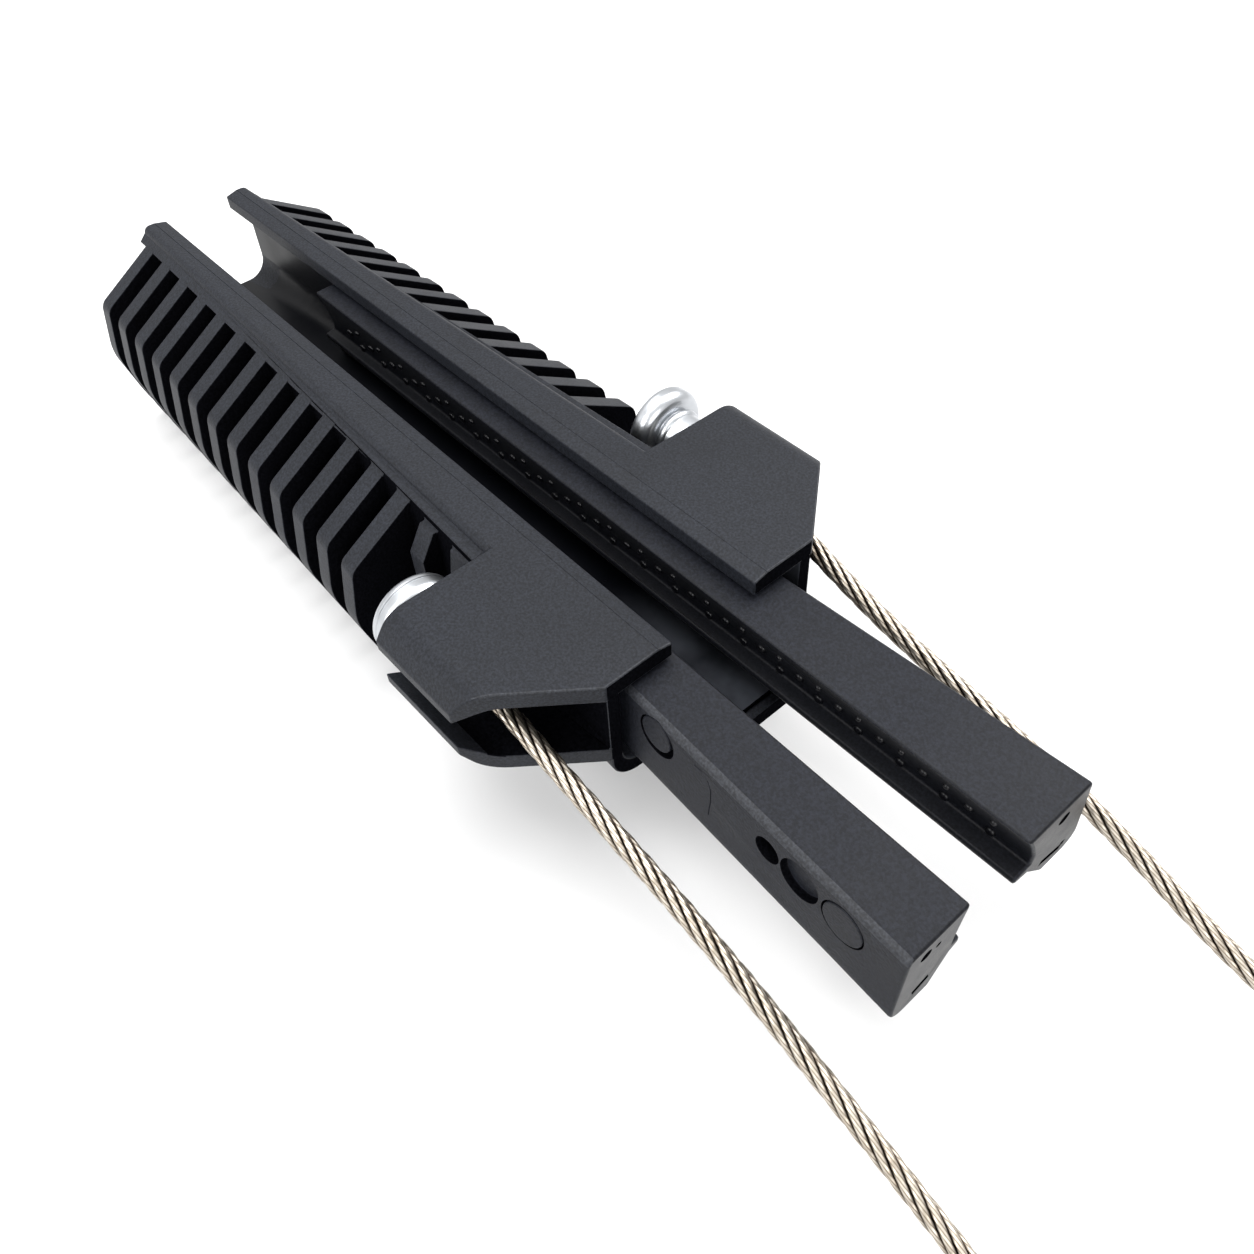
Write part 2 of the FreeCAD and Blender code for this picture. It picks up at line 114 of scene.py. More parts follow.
def place_camera():
    """The camera at the photograph's viewing angle."""
    data = bpy.data.cameras.new("camera")
    data.sensor_width = CAMERA_SENSOR
    data.lens = CAMERA_LENS
    camera = show("camera", data)
    camera.location = CAMERA_PLACE
    camera.rotation_euler = [math.radians(angle) for angle in CAMERA_TURN]
    bpy.context.scene.camera = camera


place_camera()


# ---------------------------------------------------------------- rope

ROPE_THICK = 3.0 * MM
ROPE_STEP = 0.75 * MM
ROUTE_FINENESS = 40
STRANDS = 6
STRAND_LAY = 22.5 * MM
STRAND_OFFSET = 0.97 * MM
STRAND_HALF = 0.55 * MM
STRAND_SIDES = 12
WIRES = 8
WIRE_LAY = 13 * MM

BAIL_ROUTE = [(25.0, -27.2, 29.2), (38, -27.5, 27.8), (52, -27.9, 25.5), (78, -27.3, 18.9),
              (104, -27.9, 11.7), (126, -29, 5.9), (150, -30.6, 2.8), (178, -31.6, 1.8),
              (204, -26.5, 1.7), (222.5, -11.5, 1.7), (224.5, 10, 1.7), (208, 25, 1.7),
              (182, 29, 1.9), (154, 27, 3.4), (128, 25.2, 7.8), (101, 27, 15.2),
              (83, 26.6, 19.4), (65, 25.8, 23.4), (50, 25.8, 28.0), (41, 26.7, 30.2),
              (27.5, 27.3, 31.3), (15.7, 27.2, 31.4)]


def route_line(route):
    """Points along the smooth spline that has the route's points as its control points."""
    data = bpy.data.curves.new("bail_route", "CURVE")
    data.dimensions = "3D"
    spline = data.splines.new("NURBS")
    spline.points.add(len(route) - 1)
    for point, place in zip(spline.points, route):
        point.co = (*(Vector(place) * MM), 1)
    spline.order_u = 3
    spline.use_endpoint_u = True
    spline.resolution_u = ROUTE_FINENESS
    guide = show("bail_route", data)
    bpy.context.view_layer.update()
    mesh = bpy.data.meshes.new_from_object(guide)
    line = [v.co.copy() for v in mesh.vertices]
    bpy.data.objects.remove(guide)
    bpy.data.curves.remove(data)
    bpy.data.meshes.remove(mesh)
    return line


def even_line(line, step):
    """The line again in equal steps, and its length."""
    lengths = [0.0]
    for before, after in zip(line, line[1:]):
        lengths.append(lengths[-1] + (after - before).length)
    count = max(2, round(lengths[-1] / step))
    even, place = [], 0
    for i in range(count + 1):
        along = lengths[-1] * i / count
        while place < len(lengths) - 2 and lengths[place + 1] < along:
            place += 1
        span = lengths[place + 1] - lengths[place]
        even.append(line[place].lerp(line[place + 1], (along - lengths[place]) / span))
    return even, lengths[-1]


def carried_frames(line):
    """A side and an up direction at each point, carried along the line without twist."""
    ahead = [(b - a).normalized() for a, b in zip(line, line[1:])]
    ahead.append(ahead[-1])
    side = ahead[0].cross(Vector(UP)).normalized()
    frames = []
    for direction in ahead:
        side = (side - direction * side.dot(direction)).normalized()
        frames.append((side, direction.cross(side)))
    return frames


def strand_profile():
    """The round outline of one strand."""
    data = bpy.data.curves.new("strand_profile", "CURVE")
    data.dimensions = "2D"
    spline = data.splines.new("POLY")
    spline.points.add(STRAND_SIDES - 1)
    for i, point in enumerate(spline.points):
        turn = 2 * math.pi * i / STRAND_SIDES
        point.co = (STRAND_HALF * math.cos(turn), STRAND_HALF * math.sin(turn), 0, 1)
    spline.use_cyclic_u = True
    return show("strand_profile", data)


def mark_reach(mesh, line):
    """Stores how far each point stands from the rope's middle line, in rope radii."""
    tree = KDTree(len(line))
    for i, place in enumerate(line):
        tree.insert(place, i)
    tree.balance()
    reach = []
    for vertex in mesh.vertices:
        place, i, _ = tree.find(vertex.co)
        ahead = (line[min(i + 1, len(line) - 1)] - line[max(i - 1, 0)]).normalized()
        away = vertex.co - place
        reach.append((away - ahead * away.dot(ahead)).length / (0.5 * ROPE_THICK))
    mesh.attributes.new("reach", "FLOAT", "POINT").data.foreach_set("value", reach)


def make_rope():
    """Strands laid round each other along the route, each with a UV map along and round it."""
    line, length = even_line(route_line(BAIL_ROUTE), ROPE_STEP)
    frames = carried_frames(line)
    profile = strand_profile()
    data = bpy.data.curves.new("bail_strands", "CURVE")
    data.dimensions = "3D"
    data.bevel_mode = "OBJECT"
    data.bevel_object = profile
    data.use_fill_caps = True
    step = length / (len(line) - 1)
    for strand in range(STRANDS):
        spline = data.splines.new("POLY")
        spline.points.add(len(line) - 1)
        for i, (point, place, (side, up)) in enumerate(zip(spline.points, line, frames)):
            turn = 2 * math.pi * (strand / STRANDS + i * step / STRAND_LAY)
            away = side * math.cos(turn) + up * math.sin(turn)
            point.co = (*(place + away * STRAND_OFFSET), 1)
    strands = show("bail_strands", data)
    mesh = evaluated_mesh(strands)
    mesh.name = "wire_rope"
    mesh.polygons.foreach_set("use_smooth", [True] * len(mesh.polygons))
    for used in (strands, profile):
        bpy.data.objects.remove(used)
    mark_reach(mesh, line)
    return show("wire_rope", mesh), line, length


wire_rope, rope_line, rope_length = make_rope()


# ---------------------------------------------------------------- materials

GRAIN_SCALE = 2600.0
PATCH_SCALE = 60.0
PATCH_REACH = (0.3, 0.7)
SPECK_REACH = (0.38, 0.66)


def new_group(name, inputs, outputs):
    """An empty shader node group with named number sockets."""
    group = bpy.data.node_groups.new(name, "ShaderNodeTree")
    for socket, value in inputs:
        item = group.interface.new_socket(socket, in_out="INPUT", socket_type="NodeSocketFloat")
        item.default_value = value
    for socket in outputs:
        group.interface.new_socket(socket, in_out="OUTPUT", socket_type="NodeSocketFloat")
    return group, group.nodes.new("NodeGroupInput"), group.nodes.new("NodeGroupOutput")


def new_material(name):
    """A node material, its tree and its Principled shader."""
    material = bpy.data.materials.new(name)
    material.use_nodes = True
    tree = material.node_tree
    return material, tree, tree.nodes["Principled BSDF"]


def node(tree, kind, **settings):
    """A node with its sockets and settings given by name."""
    made = tree.nodes.new(kind)
    for name, value in settings.items():
        if name in made.inputs:
            made.inputs[name].default_value = value
        else:
            setattr(made, name, value)
    return made


def math_node(tree, operation, first, second=0):
    """The result of a Math node whose inputs are numbers or sockets."""
    made = tree.nodes.new("ShaderNodeMath")
    made.operation = operation
    for socket, value in zip(made.inputs, (first, second)):
        if isinstance(value, (int, float)):
            socket.default_value = value
        else:
            tree.links.new(value, socket)
    return made.outputs[0]


def map_range(tree, value, reach, to_low, to_high):
    """A socket's value, moved from one reach to another and kept in it."""
    made = tree.nodes.new("ShaderNodeMapRange")
    for socket, number in zip(made.inputs[1:5], (*reach, to_low, to_high)):
        socket.default_value = number
    tree.links.new(value, made.inputs[0])
    return made.outputs[0]


def mix_colour(tree, factor, first, second):
    """The mix of two colours, each a colour's numbers or a socket."""
    made = tree.nodes.new("ShaderNodeMix")
    made.data_type = "RGBA"
    tree.links.new(factor, made.inputs[0])
    for socket, value in ((made.inputs[6], first), (made.inputs[7], second)):
        if isinstance(value, tuple):
            socket.default_value = (*value, 1)
        else:
            tree.links.new(value, socket)
    return made.outputs[2]


def tinted(colour, strength):
    """A colour made darker or brighter."""
    return tuple(channel * strength for channel in colour)


def make_moulded_grain():
    """The fine, matt grain of a moulding and its larger cloudy patches."""
    group, enter, leave = new_group(
        "moulded_grain", [("Fine Scale", GRAIN_SCALE), ("Cloud Scale", PATCH_SCALE)],
        ["Height", "Cloud"])
    place = group.nodes.new("ShaderNodeTexCoord")
    fine = node(group, "ShaderNodeTexNoise", Detail=3.0, Roughness=0.6)
    cloud = node(group, "ShaderNodeTexNoise", Detail=4.0, Roughness=0.55)
    for texture, scale in ((fine, "Fine Scale"), (cloud, "Cloud Scale")):
        group.links.new(place.outputs["Object"], texture.inputs["Vector"])
        group.links.new(enter.outputs[scale], texture.inputs["Scale"])
    group.links.new(fine.outputs[0], leave.inputs["Height"])
    group.links.new(cloud.outputs[0], leave.inputs["Cloud"])
    return group


def make_laid_wires():
    """Wires laid round a strand, on its UV map: their height and the mask of the painted shade line
    between two.
    """
    group, enter, leave = new_group(
        "laid_wires", [("Wires Round", 9.0), ("Turns Along", 50.0)], ["Height", "Wire"])
    place = group.nodes.new("ShaderNodeTexCoord")
    parts = group.nodes.new("ShaderNodeSeparateXYZ")
    group.links.new(place.outputs["UV"], parts.inputs[0])
    along = math_node(group, "MULTIPLY", parts.outputs[0], enter.outputs["Turns Along"])
    turned_back = math_node(group, "SUBTRACT", parts.outputs[1], along)
    phase = math_node(group, "MULTIPLY", turned_back, enter.outputs["Wires Round"])
    sine = math_node(group, "SINE", math_node(group, "MULTIPLY", phase, math.pi))
    wave = math_node(group, "ABSOLUTE", sine)
    group.links.new(wave, leave.inputs["Height"])
    group.links.new(map_range(group, wave, (0.12, 0.65), 0.0, 1.0), leave.inputs["Wire"])
    return group


MOULDED_GRAIN = make_moulded_grain()
LAID_WIRES = make_laid_wires()


def grain_node(tree, fine=GRAIN_SCALE, patches=PATCH_SCALE):
    """The moulded grain, placed in a material at its own scales."""
    grain = node(tree, "ShaderNodeGroup", node_tree=MOULDED_GRAIN)
    grain.inputs["Fine Scale"].default_value = fine
    grain.inputs["Cloud Scale"].default_value = patches
    return grain


def add_bump(tree, shader, height, strength, depth):
    """A bump of the shader's surface, its depth in metres."""
    bump = node(tree, "ShaderNodeBump", Strength=strength, Distance=depth)
    tree.links.new(height, bump.inputs["Height"])
    tree.links.new(bump.outputs[0], shader.inputs["Normal"])


def moulded_plastic(name, colour, roughness, grain_depth, shine, patches=PATCH_SCALE, dullest=0.5):
    """Grained plastic with specks, duller and paler patches and an uneven gloss."""
    material, tree, shader = new_material(name)
    grain = grain_node(tree, patches=patches)
    cloud = map_range(tree, grain.outputs["Cloud"], PATCH_REACH, 0.0, 1.0)
    speck = map_range(tree, grain.outputs["Height"], SPECK_REACH, 0.0, 1.0)
    dull = mix_colour(tree, speck, tinted(colour, dullest), tinted(colour, 2.7 * dullest))
    pale = mix_colour(tree, speck, tinted(colour, 0.65), tinted(colour, 1.75))
    gloss = map_range(tree, grain.outputs["Cloud"], PATCH_REACH, roughness - 0.05, roughness + 0.06)
    tree.links.new(mix_colour(tree, cloud, dull, pale), shader.inputs["Base Color"])
    tree.links.new(gloss, shader.inputs["Roughness"])
    shader.inputs["Specular IOR Level"].default_value = shine
    add_bump(tree, shader, grain.outputs["Height"], grain_depth, 0.08 * MM)
    return material


def trough_painted_shade_and_reflection():
    """The smooth inside of the trough: near-black as painted shade, and paler and cloudy towards
    its front as a painted reflection.
    """
    material, tree, shader = new_material("trough_painted_shade_and_reflection")
    grain = grain_node(tree)
    place = tree.nodes.new("ShaderNodeTexCoord")
    parts = tree.nodes.new("ShaderNodeSeparateXYZ")
    tree.links.new(place.outputs["Object"], parts.inputs[0])
    # Mask of the painted reflection: towards the trough's front, broken up by the cloud.
    front = map_range(tree, parts.outputs[0], (24 * MM, 50 * MM), 0.0, 1.0)
    cloud = map_range(tree, grain.outputs["Cloud"], (0.38, 0.60), 0.15, 1.0)
    paler = math_node(tree, "MULTIPLY", front, cloud)
    # Near-black painted shade, mixed towards a paler painted reflection.
    colour = mix_colour(tree, paler, (0.0024, 0.0027, 0.0042), (0.060, 0.065, 0.078))
    gloss = map_range(tree, grain.outputs["Cloud"], PATCH_REACH, 0.26, 0.42)
    tree.links.new(colour, shader.inputs["Base Color"])
    tree.links.new(gloss, shader.inputs["Roughness"])
    shader.inputs["Specular IOR Level"].default_value = 0.16
    return material


def bright_zinc():
    """Smooth, faintly cloudy zinc."""
    material, tree, shader = new_material("bright_zinc")
    grain = grain_node(tree, fine=900, patches=180)
    cloud = map_range(tree, grain.outputs["Cloud"], (0.35, 0.65), 0.0, 1.0)
    colour = mix_colour(tree, cloud, (0.42, 0.435, 0.455), (0.46, 0.475, 0.495))
    tree.links.new(colour, shader.inputs["Base Color"])
    shader.inputs["Metallic"].default_value = 1.0
    shader.inputs["Roughness"].default_value = 0.32
    return material


def bare_wire():
    """Steel wires, bright on the crowns of the strands, with painted shade between the strands and
    in the lines between the wires.
    """
    material, tree, shader = new_material("bare_wire")
    grain = grain_node(tree, fine=3200, patches=420)
    wires = node(tree, "ShaderNodeGroup", node_tree=LAID_WIRES)
    wires.inputs["Wires Round"].default_value = WIRES
    wires.inputs["Turns Along"].default_value = rope_length / WIRE_LAY
    reach = node(tree, "ShaderNodeAttribute", attribute_name="reach")
    # Mask of the painted shade between the strands, from how far a point stands from the rope's
    # middle line.
    crown = map_range(tree, reach.outputs["Fac"], (0.82, 0.96), 0.0, 1.0)
    cloud = map_range(tree, grain.outputs["Cloud"], PATCH_REACH, 0.0, 1.0)
    bright = mix_colour(tree, cloud, (0.40, 0.35, 0.285), (0.58, 0.535, 0.465))
    # Painted shade in the lines between the wires.
    shaded_wire_lines = mix_colour(tree, wires.outputs["Wire"], (0.13, 0.098, 0.07), bright)
    # Near-black painted shade between the strands.
    colour = mix_colour(tree, crown, (0.022, 0.014, 0.009), shaded_wire_lines)
    gloss = map_range(tree, grain.outputs["Cloud"], PATCH_REACH, 0.36, 0.46)
    tree.links.new(colour, shader.inputs["Base Color"])
    tree.links.new(gloss, shader.inputs["Roughness"])
    shader.inputs["Metallic"].default_value = 1.0
    add_bump(tree, shader, wires.outputs["Height"], 0.4, 0.05 * MM)
    return material


BODY_PLASTIC = moulded_plastic("body_plastic_grain", (0.0106, 0.0119, 0.0157),
                               roughness=0.52, grain_depth=0.8, shine=0.175)
WEDGE_PLASTIC = moulded_plastic("wedge_plastic_grain", (0.0076, 0.0085, 0.0120),
                                roughness=0.50, grain_depth=0.8, shine=0.14)
# Paler plastic for rounded edges that catch the light: painted highlight.
EDGE_HIGHLIGHT_PLASTIC = moulded_plastic("painted_edge_highlight_plastic", (0.019, 0.0205, 0.025),
                               roughness=0.46, grain_depth=0.9, shine=0.24)
SHADED_PLASTIC = moulded_plastic("shaded_plastic", (0.0055, 0.0060, 0.0080),
                                 roughness=0.42, grain_depth=0.3, shine=0.12)
# Near-black glossy plastic for the groove studs: painted shade of the groove, with its own gloss.
GLOSSY_SHADE_PLASTIC = moulded_plastic("glossy_painted_shade_plastic", (0.0020, 0.0022, 0.0034),
                                 roughness=0.28, grain_depth=0.1, shine=0.25)
TROUGH_SHADE_AND_REFLECTION = trough_painted_shade_and_reflection()
# A paler copy of the wedge plastic for the wedges' front ends: painted light.
END_PAINTED_LIGHT_PLASTIC = moulded_plastic("wedge_end_painted_light", (0.024, 0.0245, 0.026), roughness=0.46,
                              grain_depth=0.8, shine=0.25, patches=300.0, dullest=0.12)
# Near-black plastic for faces that lie in deep shade: painted shade.
PAINTED_SHADE_PLASTIC = moulded_plastic("painted_shade_plastic", (0.0026, 0.0027, 0.0036),
                                 roughness=0.60, grain_depth=0.2, shine=0.0)
BRIGHT_ZINC = bright_zinc()
BARE_WIRE = bare_wire()


# ---------------------------------------------------------------- turned and carved shapes

def arc(middle, radius, start, end, steps):
    """Points (across, along) on an arc, from one angle in degrees to another."""
    points = []
    for i in range(steps + 1):
        angle = math.radians(start + (end - start) * i / steps)
        points.append((middle[0] + radius * math.cos(angle), middle[1] + radius * math.sin(angle)))
    return points


def turned(outline, centre, outward, steps=48):
    """A turned solid: (radius, height) points in mm, spun about the outward direction."""
    bm = bmesh.new()
    chain = [bm.verts.new((radius, 0, height)) for radius, height in outline]
    sides = [bm.edges.new(pair) for pair in zip(chain, chain[1:])]
    bmesh.ops.spin(bm, geom=chain + sides, cent=(0, 0, 0), axis=UP, angle=2 * math.pi,
                   steps=steps, use_merge=True)
    bmesh.ops.remove_doubles(bm, verts=bm.verts[:], dist=1e-4)
    bmesh.ops.recalc_face_normals(bm, faces=bm.faces[:])
    turn = Vector(UP).rotation_difference(Vector(outward)).to_matrix().to_4x4()
    bm.transform(Matrix.Scale(MM, 4) @ Matrix.Translation(centre) @ turn)
    return bm


def bar(start, end, width, low, high, up=UP, foot=1.0):
    """A straight bar in mm from start to end; foot is the share of its width left at its foot."""
    start, end, up = Vector(start), Vector(end), Vector(up).normalized()
    ahead = end - start
    side = up.cross(ahead).normalized()
    bm = bmesh.new()
    bmesh.ops.create_cube(bm, size=1)
    bmesh.ops.scale(bm, vec=(1, foot, 1), verts=[v for v in bm.verts if v.co.z < 0])
    placing = Matrix((ahead, side * width, up * (high - low))).transposed().to_4x4()
    placing.translation = (start + end) / 2 + up * (low + high) / 2
    bm.transform(Matrix.Scale(MM, 4) @ placing)
    bmesh.ops.recalc_face_normals(bm, faces=bm.faces[:])
    return bm


def gather(parts):
    """Several solids in one bmesh."""
    whole = bmesh.new()
    for part in parts:
        mesh = bpy.data.meshes.new("part")
        part.to_mesh(mesh)
        part.free()
        whole.from_mesh(mesh)
        bpy.data.meshes.remove(mesh)
    return whole


def carve(piece, tool, finish=None, floor_normal=None):
    """Cuts a solid out of a piece; the cut gets a finish, but for a floor of the given normal."""
    cutter = show("cutter", finish_mesh(tool, "cutter"))
    for material in piece.data.materials:
        cutter.data.materials.append(material)
    if finish:
        place = material_place(cutter.data, finish)
        for face in cutter.data.polygons:
            floor = floor_normal is not None and abs(face.normal.dot(floor_normal)) > 0.9
            face.material_index = 0 if floor else place
    modifier = piece.modifiers.new("carve", "BOOLEAN")
    modifier.operation = "DIFFERENCE"
    modifier.solver = "EXACT"
    modifier.material_mode = "TRANSFER"
    modifier.object = cutter
    carved = evaluated_mesh(piece)
    piece.modifiers.remove(modifier)
    bpy.data.objects.remove(cutter)
    piece.data = carved
    carved.name = piece.name
    shade_smooth(carved, CREASE_ANGLE)


POCKET_CORNER = 0.25
CUT_PROUD = 0.6


def pocket(centre, outward, radius, depth, rim=0.14):
    """A cutter for a round recess with a rounded rim and floor."""
    floor_edge = (radius - POCKET_CORNER, -depth + POCKET_CORNER)
    outline = [(0, -depth)] + arc(floor_edge, POCKET_CORNER, -90, 0, 3)
    outline += arc((radius + rim, -rim), rim, 180, 90, 3)
    outline += [(radius + rim, CUT_PROUD), (0, CUT_PROUD)]
    return turned(outline, centre, outward)


# ---------------------------------------------------------------- moulded parts

FLAT_ANGLE = math.radians(0.6)
BEVEL_ANGLE = math.radians(30)
MERGE = 0.02 * MM
SOFT_EDGE = 0.85 * MM
LONG_EDGE = 10 * MM


def moulded_copy(node_name, piece_name, corner, soft_line=None):
    """A CAD node's shape with rounded corners, and with one long line rounded more softly."""
    bm = bmesh.new()
    bm.from_mesh(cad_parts[node_name].data)
    bmesh.ops.remove_doubles(bm, verts=bm.verts[:], dist=MERGE)
    bmesh.ops.dissolve_limit(bm, angle_limit=FLAT_ANGLE, verts=bm.verts[:], edges=bm.edges[:],
                             use_dissolve_boundaries=False)
    ceiling = max(v.co.z for v in bm.verts)
    if soft_line:
        soft = [e for e in bm.edges
                if e.calc_length() > LONG_EDGE and all(soft_line(v.co / MM) for v in e.verts)]
        bmesh.ops.bevel(bm, geom=soft, offset=SOFT_EDGE, offset_type="OFFSET", segments=4,
                        profile=0.5, affect="EDGES", material=-1)
    corners = [e for e in bm.edges if e.is_manifold and e.calc_face_angle() > BEVEL_ANGLE]
    bmesh.ops.bevel(bm, geom=corners, offset=corner, offset_type="OFFSET", segments=2,
                    profile=0.5, affect="EDGES", clamp_overlap=False, loop_slide=True, material=-1)
    for vertex in bm.verts:
        vertex.co.z = min(vertex.co.z, ceiling)
    return show(piece_name, finish_mesh(bm, piece_name))


def flatten_faces(piece):
    """Keeps large faces flat where rounded corners meet them."""
    modifier = piece.modifiers.new("flat_faces", "WEIGHTED_NORMAL")
    modifier.keep_sharp = True


# Sizes in mm. A pair holds a size of the tapered forms at the rear and at the front station.
REAR_STATION = -102.0
STATION_SPAN = 204.0
TOP = 38.4
WEDGE_TOP = 34.4
TONGUE_TOP = 18.0
SLOT_HALF = (6.8, 8.2)
TROUGH_HALF = (9.3, 20.2)
PLATE_HALF = (11.8, 18.7)
WEDGE_DEPTH = (18.2, 21.0)
WEDGE_FOOT_GAP = 0.32
WEDGE_FOOT_HALF = (8.98, 18.9)
WEDGE_TOP_HALF = (7.9, 18.5)
GROOVE_LIP = {LEFT: (4.6, 7.5), RIGHT: (3.8, 3.7)}
GROOVE_WALL = {LEFT: (5.0, 8.4), RIGHT: (5.3, 7.0)}
GROOVE_BEND = 27.4
GROOVE_RISE = 3.9
GROOVE_LIP_TOP = 31.3


def between(pair, x):
    """A size of the tapered forms at a place along the clamp."""
    rear, front = pair
    return rear + (front - rear) * (x - REAR_STATION) / STATION_SPAN


def left_side(x, z):
    """A point on the outer side of the left wedge, and the direction out of it."""
    def across(x, z):
        foot = TOP - between(WEDGE_DEPTH, x) + WEDGE_FOOT_GAP
        low, high = between(WEDGE_FOOT_HALF, x), between(WEDGE_TOP_HALF, x)
        return -(high + (low - high) * (WEDGE_TOP - z) / (WEDGE_TOP - foot))
    here = across(x, z)
    outward = Vector((across(x + 1, z) - here, -1, across(x, z + 1) - here)).normalized()
    return Vector((x, here, z)), outward


def groove_wall(side, x, z):
    """A point on the cable groove of a wedge, and the direction out of it."""
    lip, wall = between(GROOVE_LIP[side], x), between(GROOVE_WALL[side], x)
    if z <= GROOVE_BEND:
        return Vector((x, side * wall, z)), Vector((0, -side, 0))
    shoulder = 0.5 * (lip + wall)
    here = shoulder + (wall - shoulder) * (GROOVE_LIP_TOP - z) / GROOVE_RISE
    slope = (wall - shoulder) / GROOVE_RISE
    return Vector((x, side * here, z)), Vector((0, -side, -slope)).normalized()


STUD_ROWS = ((94.8, 26.1, 0.75), (91.2, 27.9, 0.75), (95.2, 29.9, 0.55))
STUDS_A_ROW = 21
STUD_SPACING = 7.3
STUD_ROOT = -0.4
STUD_SIDE = 0.12
STUD_ROUND = 0.3
STUD_CROWN = 0.46


def jaw_studs(side, name, body):
    """Small round studs in the cable groove of a wedge, in three rows."""
    studs = []
    for i in range(STUDS_A_ROW):
        for first, z, radius in STUD_ROWS:
            place, outward = groove_wall(side, first - STUD_SPACING * i, z)
            outline = [(0, STUD_ROOT), (radius, STUD_ROOT), (radius, STUD_SIDE)]
            outline += arc((radius - STUD_ROUND, STUD_SIDE), STUD_ROUND, 0, 90, 2)
            outline += [(0, STUD_CROWN)]
            studs.append(turned(outline, place, outward, steps=10))
    piece = show(name, finish_mesh(gather(studs), name, 50))
    # The studs get painted shade with a gloss.
    wear(piece, GLOSSY_SHADE_PLASTIC, body)


def plate_lines():
    """Cutters for the fine lines beside the top slot, and for the tongue's groove and notch."""
    tools = []
    for side in (LEFT, RIGHT):
        start, end = ((x, side * (between(SLOT_HALF, x) + 2.5), TOP) for x in (-104.0, 54.0))
        tools.append(bar(start, end, width=0.42, low=-0.16, high=0.5, foot=0.1))
    tools.append(bar((56.2, -10.5, TONGUE_TOP), (56.2, 10.5, TONGUE_TOP),
                     width=0.8, low=-1.0, high=0.5))
    tools.append(bar((57.0, -4.2, TONGUE_TOP), (58.5, -4.2, TONGUE_TOP),
                     width=1.2, low=-3.5, high=0.5))
    return tools


PAD_RECESS = 3.45
PAD_RIM = 0.06
PAD_ROUND = 0.2
LEFT_JAW_PADS = (dict(x=57.1, z=30.2, depth=1.1, radius=2.9, shift=0.26, height=0.0),
                 dict(x=91.5, z=29.3, depth=0.7, radius=3.22, shift=0.0, height=0.1))
LEFT_JAW_OUT = left_side(80, 29)[1]


def left_jaw_recesses():
    """Cutters for the round recesses in the outer side of the left wedge.

    With each goes the normal of a floor that keeps the wedge's own finish, or none; the other cut
    faces get painted shade.
    """
    tools = [(pocket(*left_side(78.6, 29.3), radius=1.98, depth=6.0), None),
             (pocket(*left_side(84.2, 29.5), radius=3.2, depth=1.1), LEFT_JAW_OUT)]
    for pad in LEFT_JAW_PADS:
        place, outward = left_side(pad["x"], pad["z"])
        tools.append((pocket(place, outward, PAD_RECESS, pad["depth"], PAD_RIM), None))
    return tools


def left_jaw_discs():
    """The round pads that stand in two of the recesses."""
    discs = []
    for pad in LEFT_JAW_PADS:
        place, outward = left_side(pad["x"] - pad["shift"], pad["z"] + pad["shift"])
        radius, height, root = pad["radius"], pad["height"], -pad["depth"] - 0.2
        outline = [(0, root), (radius, root)]
        outline += arc((radius - PAD_ROUND, height - PAD_ROUND), PAD_ROUND, 0, 90, 4)
        discs.append(turned(outline + [(0, height)], place, outward))
    piece = show("left_jaw_discs", finish_mesh(gather(discs), "left_jaw_discs"))
    flatten_faces(piece)
    wear(piece, WEDGE_PLASTIC, "left_jaw")


def left_jaw_arc():
    """Cutters for the faint bent line beside the first recess."""
    bends = [(64.6, 32.2), (66.2, 32.3), (67.3, 31.6), (68.0, 30.0), (68.1, 27.8), (67.8, 24.2)]
    tools = []
    for first, second in zip(bends, bends[1:]):
        (start, outward), (end, _) = left_side(*first), left_side(*second)
        tools.append(bar(start, end, 0.4, low=-0.18, high=0.3, up=outward, foot=0.3))
    return tools


WEDGE_END = 101
END_CUT_FROM, END_CUT_TO = 95, 104


def end_pit(y, z, radius, flare, depth, steps):
    """A cutter for a small round pit in the front end of a wedge."""
    outline = [(0, -depth), (radius, -depth), (flare, 0.4), (0, 0.4)]
    return turned(outline, (WEDGE_END, y, z), FORWARD, steps)


def end_slot(y, z, width, half, up):
    """A cutter for a slot in the front end of a wedge."""
    return bar((END_CUT_FROM, y, z), (END_CUT_TO, y, z), width, -half, half, up)


def end_recesses(side):
    """Cutters for the small recesses in the front end of a wedge."""
    if side == RIGHT:
        return [end_pit(11.7, 31.4, 1.0, 1.15, 0.5, 24),
                end_slot(15.6, 20.9, 1.1, 0.45, (0, 0.35, 0.94)),
                end_slot(13.0, 20.9, 5.2, 0.6, (0, 0.25, 0.97))]
    return [end_pit(-14.9, 31.6, 0.9, 1.05, 0.5, 24),
            end_pit(-12.6, 31.2, 0.45, 0.5, 0.4, 16),
            end_slot(-13.6, 21.6, 3.0, 0.7, (0, -0.3, 0.95))]


FERRULE_ACROSS = 27.2
FERRULE_BORE = 1.65


